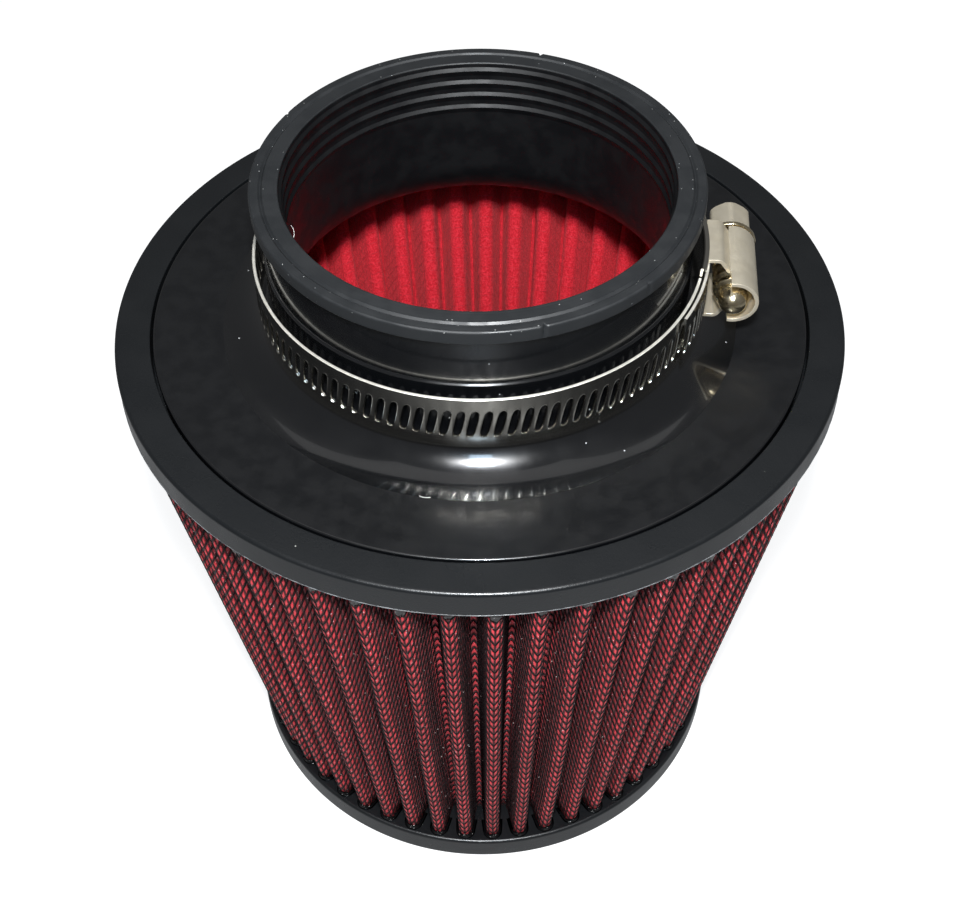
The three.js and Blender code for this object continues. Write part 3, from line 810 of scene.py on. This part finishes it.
def slotted_strip(inner, start, end, slotted):
    """A strip bent round the Z axis between two angles, slotted where the two given angles allow."""
    middle = inner + band_thickness / 2
    cells = round((end - start) * middle / slot_pitch)
    cell = (end - start) * middle / cells
    across, up = 5, 9
    side_s = np.linspace(-cell / 2, cell / 2, across)
    side_z = np.linspace(-band_half + band_edge, band_half - band_edge, up)
    frame_points = np.array(
        [(s, side_z[0]) for s in side_s[:-1]] + [(side_s[-1], z) for z in side_z[:-1]]
        + [(s, side_z[-1]) for s in side_s[:0:-1]] + [(side_s[0], z) for z in side_z[:0:-1]])
    direction = np.arctan2(frame_points[:, 1] / band_half, frame_points[:, 0] / (cell / 2))
    round_end = 2 / slot_squareness - 1

    def hole(grow):
        c, s = np.cos(direction), np.sin(direction)
        x = (slot_half_width + grow) * c * abs(c + 1e-9) ** round_end
        z = (slot_half_height + grow) * s * abs(s + 1e-9) ** round_end
        return joined(x + slot_lean * z, z)

    outer = inner + band_thickness
    layers = [(frame_points, outer), (hole(0.24 * mm), outer), (hole(0.1 * mm), outer + burr),
              (hole(0), outer - burr), (hole(0), inner + burr), (hole(0.15 * mm), inner),
              (frame_points, inner)]
    count = len(frame_points)
    rim = np.array([i for i in range(count) if abs(frame_points[i, 1]) > side_z[-1] - band_edge / 10])
    points, faces = [], []

    def bent(flat, radius, at):
        angle = start + (at + 0.5) * cell / middle + flat[:, 0] / middle
        return polar(radius, angle, flat[:, 1] + clamp_z)

    total = 0
    for at in range(cells):
        angle = start + (at + 0.5) * cell / middle
        open_here = slotted[0] < angle < slotted[1]
        used = layers if open_here else [layers[0], layers[-1]]
        for flat, radius in used:
            points.append(bent(flat, radius, at))
        if open_here:
            faces += (grid_faces(len(layers), count, False, True) + total).tolist()
        else:
            faces += [[total + i for i in range(count)], [total + count + i for i in range(count)][::-1]]
        back = total + (len(used) - 1) * count
        # Rounded long edges, above and below.
        for line, sign in ((rim[rim <= across], -1), (rim[rim > across], 1)):
            line = sorted(line, key=lambda i: frame_points[i, 0])
            flat = frame_points[line]
            beyond = flat + np.array([0, sign * band_edge])
            first_new = total + len(used) * count + (0 if sign < 0 else 2 * len(line))
            points.append(bent(beyond, outer - band_edge, at))
            points.append(bent(beyond, inner + band_edge, at))
            for i in range(len(line) - 1):
                a, b = line[i], line[i + 1]
                n = first_new + i
                m = first_new + len(line) + i
                faces += [[total + a, total + b, n + 1, n], [n, n + 1, m + 1, m],
                          [m, m + 1, back + b, back + a]]
        # Flat cut ends of the strip.
        for end, last_cell, corner in ((-1, 0, 0), (1, cells - 1, len(line) - 1)):
            if at == last_cell:
                edge = [i for i in range(count) if end * frame_points[i, 0] > cell / 2 - band_edge / 10]
                edge.sort(key=lambda i: frame_points[i, 1])
                low = total + len(used) * count + corner
                high = low + 2 * len(line)
                faces.append([total + i for i in edge] + [high, high + len(line)]
                             + [back + i for i in edge[::-1]] + [low + len(line), low])
        total += len(used) * count + 4 * len(line)
    return np.concatenate(points), faces


# Rolled stainless strip: a dark mirror with faint lengthwise lines. The real lines are far finer
# than a hair, and are drawn 0.25 mm apart so that they show.
rolled_stainless, tree = new_finish("rolled_stainless_steel", "#bdbab2", {"Metallic": 1.0})
drawn = add_node(tree, "ShaderNodeVectorMath", {
    0: object_places(tree), 1: (40, 40, 4000)}, operation="MULTIPLY")
drawing = add_node(tree, "ShaderNodeTexNoise", {"Vector": drawn.outputs[0], "Scale": 1.0, "Detail": 3})
roughen_by(tree, drawing.outputs["Fac"], 0.3, 0.7, 0.09, 0.18)
relief(tree, drawing.outputs["Fac"], 0.004 * mm)

# Slit edges of the same steel: torn and rough, so they catch light from all round, and given a paler,
# partly diffuse colour as a painted highlight.
torn_edge_painted_highlight, tree = new_finish("torn_stainless_edge_painted_highlight", "#e4e0d6", {"Metallic": 0.6})
roughen_by(tree, grain(tree, 0.8 * mm), 0.3, 0.7, 0.3, 0.55)


def brighten_edges(strip):
    """Gives the torn finish with its painted highlight to a strip's two long edges, and keeps its corners
    crisp.
    """
    for face in strip.data.polygons:
        face.material_index = int(abs(face.center.z - clamp_z) > band_half - band_edge)
    soften(strip, 40)


# Angles in degrees from the screw: the saddle, the band's ends, its slotted part, its loose end.
saddle_half = 11.31
band_end = saddle_half + 0.38
slotted_part = 215
tail_start, tail_slotted, tail_end = 27.1, 13.5, 16.7
band_points, band_faces = slotted_strip(
    band_inner, clamp_turn + radians(band_end) - 2 * pi, clamp_turn - radians(band_end),
    (clamp_turn - radians(slotted_part), clamp_turn))
brighten_edges(make_piece("slotted_band", band_points, band_faces, "clamp", "stainless_band",
                          ["clamp_band"], [rolled_stainless, torn_edge_painted_highlight]))

tail_gap = 0.45 * mm
tail_inner = band_inner + band_thickness + tail_gap
tail_points, tail_faces = slotted_strip(
    tail_inner, clamp_turn - radians(tail_start), clamp_turn + radians(tail_end),
    (-pi, clamp_turn + radians(tail_slotted)))
brighten_edges(make_piece("band_loose_end", tail_points, tail_faces, "tail", "stainless_band",
                          ["band_tail"], [rolled_stainless, torn_edge_painted_highlight]))


# ---- Hose clamp: saddle ----
# A short bent base strip that carries the screw's housing and joins it to the band, with a tab
# folded up along each edge. Pressed from the same bright strip as the band.

# Satin nickel over a pressed surface: warm grey, a soft even sheen with faint press wrinkles.
satin_nickel, tree = new_finish("satin_nickel_plate", "#dcd2bc", {"Metallic": 0.75})
roughen_by(tree, grain(tree, 2.2 * mm, 3), 0.3, 0.7, 0.34, 0.46)
colour_by(tree, grain(tree, 4 * mm, 3), "#d2c7ae", "#eae1ce")
relief(tree, grain(tree, 0.6 * mm, 2), 0.03 * mm)

tab_inner, tab_outer, tab_top = 7.85 * mm, 8.55 * mm, band_inner + 1.3 * mm
saddle_section = np.array(rounded([
    (band_inner, -tab_outer, 0.5 * mm),
    (tab_top, -tab_outer, 0.3 * mm),
    (tab_top, -tab_inner, 0.3 * mm),
    (band_inner + band_thickness, -tab_inner, 0.2 * mm),
    (band_inner + band_thickness, tab_inner, 0.2 * mm),
    (tab_top, tab_inner, 0.3 * mm),
    (tab_top, tab_outer, 0.3 * mm),
    (band_inner, tab_outer, 0.5 * mm),
], arc_steps=4))
saddle_steps = 13
saddle_angles = clamp_turn + np.radians(np.linspace(-saddle_half, saddle_half, saddle_steps))[:, None]
saddle_points = polar(saddle_section[:, 0], saddle_angles, saddle_section[:, 1] + clamp_z)
section_size = len(saddle_section)
saddle_faces = grid_faces(saddle_steps, section_size, False, True).tolist()
saddle_faces += [[end * section_size + i for i in range(section_size)] for end in (0, saddle_steps - 1)]
soften(make_piece("saddle_strip", saddle_points.reshape(-1, 3), saddle_faces, "clamp", "nickel_pressing",
                  ["clamp_saddle"], [rolled_stainless]), 40)


# ---- Hose clamp: screw housing ----
# Nickel-plated sheet steel pressed over the screw: a barrel that opens below into a channel for
# the band. The channel is cut back at both ends, and the cut edges are tumbled smooth.

def to_clamp(points):
    """Turns points from the clamp's own frame (out, along the screw, up) to their place on the neck."""
    out, along, up = points[..., 0], points[..., 1], points[..., 2]
    return joined(out * cos(clamp_turn) - along * sin(clamp_turn),
                  out * sin(clamp_turn) + along * cos(clamp_turn), up + clamp_z)


sheet = 0.8 * mm
channel_half = 7.55 * mm - sheet / 2
barrel_radius = 5.05 * mm - sheet / 2
foot = tail_inner
shoulder = foot + 2.6 * mm
barrel_start = 104  # degrees round the barrel, from its top, at which it meets the shoulder
half_path = rounded([
    (foot, channel_half, 0),
    (shoulder, channel_half, 1.1 * mm),
    arc_points(screw_centre, 0, barrel_radius, barrel_start, 0, 1)[0][:2] + (0.7 * mm,),
    *arc_points(screw_centre, 0, barrel_radius, barrel_start - 6, 0, 14),
], closed=False)
channel_points = sum(1 for x, z in half_path if x < screw_centre - 0.9 * mm and z > 0)
path = np.array(half_path + [(x, -z) for x, z in half_path[-2::-1]])
stations = np.array([-9, -7, -5, -2.5, 0, 2.5, 5, 7.6, 9]) * mm
housing_points = joined(path[None, :, 0], stations[:, None], path[None, :, 1])
housing_faces = grid_faces(len(stations), len(path))
face_path = np.tile(np.arange(len(path) - 1), len(stations) - 1)
face_station = np.repeat(np.arange(len(stations) - 1), len(path) - 1)
beside_band = (face_path < channel_points) | (face_path >= len(path) - 1 - channel_points)
housing_faces = housing_faces[~(beside_band & ((face_station < 2) | (face_station == 7)))]
housing = make_piece("screw_housing", to_clamp(housing_points).reshape(-1, 3), housing_faces, "clamp",
                     "nickel_pressing", ["clamp_housing"], [satin_nickel])
thicken = housing.modifiers.new("sheet", "SOLIDIFY")
thicken.thickness, thicken.offset = sheet, 0
thicken.use_even_offset = True
tumble = housing.modifiers.new("tumbled_edges", "BEVEL")
tumble.width, tumble.segments = 0.24 * mm, 3
tumble.limit_method, tumble.angle_limit = "ANGLE", radians(50)
soften(housing, 60)


# ---- Hose clamp: screw ----
# A nickel-plated steel worm screw: domed end, rolled thread that drives the band's slots, a
# collar against the housing, and a slotted hexagon head.

# Bright plated steel with a yellow cast from its chromate, and a trace of tool marks.
bright_nickel, tree = new_finish("bright_yellow_nickel", "#d8c8a4", {"Metallic": 1.0})
roughen_by(tree, grain(tree, 1.5 * mm, 3), 0.3, 0.7, 0.14, 0.28)
colour_by(tree, grain(tree, 2 * mm, 3), "#cbb88e", "#e4dac2")
relief(tree, grain(tree, 0.4 * mm, 2), 0.02 * mm)

thread_root, thread_crest = 3.1 * mm, 3.9 * mm
thread_pitch = slot_pitch
thread_foot, thread_flank = 0.75, 0.35  # widths of the ridge, as shares of half the pitch
thread_half = 7.62 * mm
dome_end = -10.9 * mm
screw_sides = 72
shank = [(0, dome_end)] + [
    (thread_root * sin(a), -thread_half - (-thread_half - dome_end) * cos(a))
    for a in np.linspace(0.15, pi / 2, 9)]
thread_rows = [(thread_root, y) for y in np.linspace(-thread_half, thread_half, 96)[1:]]
collar_start, collar_end, collar_radius = 9.3 * mm, 10.4 * mm, 5.3 * mm
collar = rounded([
    (thread_root, thread_half, 0),
    (thread_root, collar_start, 0.2 * mm),
    (collar_radius, collar_start, 0.3 * mm),
    (collar_radius, collar_end, 0.45 * mm),
    (0, collar_end, 0),
], closed=False)[1:]
profile = np.array(shank + thread_rows + collar)
spin = np.linspace(0, 2 * pi, screw_sides, endpoint=False)[None, :]
turn_share = ((profile[:, 1:] / thread_pitch - spin / (2 * pi)) % 1) * 2 - 1
ridge = np.clip((thread_foot - abs(turn_share)) / thread_flank, 0, 1)
run_in = np.clip((thread_half - abs(profile[:, 1:])) / (thread_pitch / 2), 0, 1)
in_thread = (abs(profile[:, 1:]) < thread_half) & (profile[:, :1] == thread_root)
radius = profile[:, :1] + (thread_crest - thread_root) * ridge * run_in * in_thread
shank_points = joined(screw_centre + radius * np.cos(spin), profile[:, 1:], radius * np.sin(spin))
shank_faces = grid_faces(len(profile), screw_sides, False, True)

head_end = 18 * mm
hex_half = 4 * mm
head_round = 4.45 * mm
chamfer = 0.55 * mm
head_rows = [(collar_end - 0.4 * mm, head_round), (head_end - chamfer, head_round),
             (head_end - chamfer / 3, head_round - 0.3 * mm), (head_end, head_round - 0.75 * mm)]
sector = (spin + pi / 6) % (pi / 3) - pi / 6
hexagon = hex_half / np.cos(sector)
head_levels = np.array([y for y, _ in head_rows])[:, None]
head_radius = np.minimum(hexagon, np.array([r for _, r in head_rows])[:, None])
head_points = joined(
    screw_centre + head_radius * np.cos(spin), head_levels, head_radius * np.sin(spin))
head_faces = grid_faces(len(head_rows), screw_sides, False, True).tolist()
head_faces += [[end * screw_sides + i for i in range(screw_sides)] for end in (0, len(head_rows) - 1)]

screw = make_piece("worm_screw", to_clamp(shank_points).reshape(-1, 3), shank_faces, "screw",
                   "nickel_screw", ["clamp_screw"], [bright_nickel])
soften(screw, 45)
head = make_piece("screw_head", to_clamp(head_points).reshape(-1, 3), head_faces, "screw",
                  "nickel_screw", [], [satin_nickel])
slot_half, slot_depth = 0.7 * mm, 2 * mm
block = np.array([(screw_centre + x * 2 * head_round, head_end + y * slot_depth, z * slot_half)
                  for x in (-1, 1) for y in (-1, 1) for z in (-1, 1)])
cutter_mesh = bpy.data.meshes.new("driver_slot")
cutter_mesh.from_pydata(to_clamp(block).tolist(), [], [
    (0, 1, 3, 2), (4, 6, 7, 5), (0, 4, 5, 1), (2, 3, 7, 6), (0, 2, 6, 4), (1, 5, 7, 3)])
cutter = bpy.data.objects.new("driver_slot", cutter_mesh)
scene.collection.objects.link(cutter)
milled = head.modifiers.new("driver_slot", "BOOLEAN")
milled.operation, milled.object, milled.solver = "DIFFERENCE", cutter, "EXACT"
cut_mesh = bpy.data.meshes.new_from_object(head.evaluated_get(bpy.context.evaluated_depsgraph_get()))
head.modifiers.clear()
head.data = cut_mesh
bpy.data.objects.remove(cutter)
worn = head.modifiers.new("worn_edges", "BEVEL")
worn.width, worn.segments = 0.18 * mm, 2
worn.limit_method, worn.angle_limit = "ANGLE", radians(35)
soften(head, 40)


# ---- Lint ----
# A few short cotton fibres that came off the gauze and cling to the rubber: two lie in the dish
# and one is in the bore.

# Loose cotton fibre: white and matt.
cotton_fibre, tree = new_finish("white_cotton_fibre", "#d8d6d2", {"Roughness": 0.8})
colour_by(tree, grain(tree, 1 * mm), "#c4c2be", "#f0efec")


def fibre(start, heading, length, curl, lift):
    """A row of points for one curled fibre, from a start place and a heading."""
    place, line = Vector(start), []
    steps = 10
    for k in range(steps + 1):
        line.append(place.copy())
        angle = heading + curl * k / steps
        place = place + Vector((cos(angle), sin(angle), lift * sin(pi * k / steps))) * length / steps
    return line


fibres = [
    fibre((-11.5 * mm, -52.5 * mm, dish_z + 0.35 * mm), radians(-35), 2.2 * mm, 0.8, 0.1),
    fibre((-38.4 * mm, -5 * mm, neck_top - 13 * mm), radians(10), 4.5 * mm, 2.4, 0.8),
    fibre((30 * mm, 53 * mm, dish_z + 0.5 * mm), radians(120), 2.4 * mm, -1.2, 0.1),
]
fibre_paths = np.array([[list(p) for p in line] for line in fibres])
upward = np.broadcast_to(np.array([0.0, 0.0, 1.0]), fibre_paths.shape)
make_piece("lint_fibres", *wires(fibre_paths, upward, 0.07 * mm, False), "filter", "red_cotton",
           [], [cotton_fibre], outward=False)
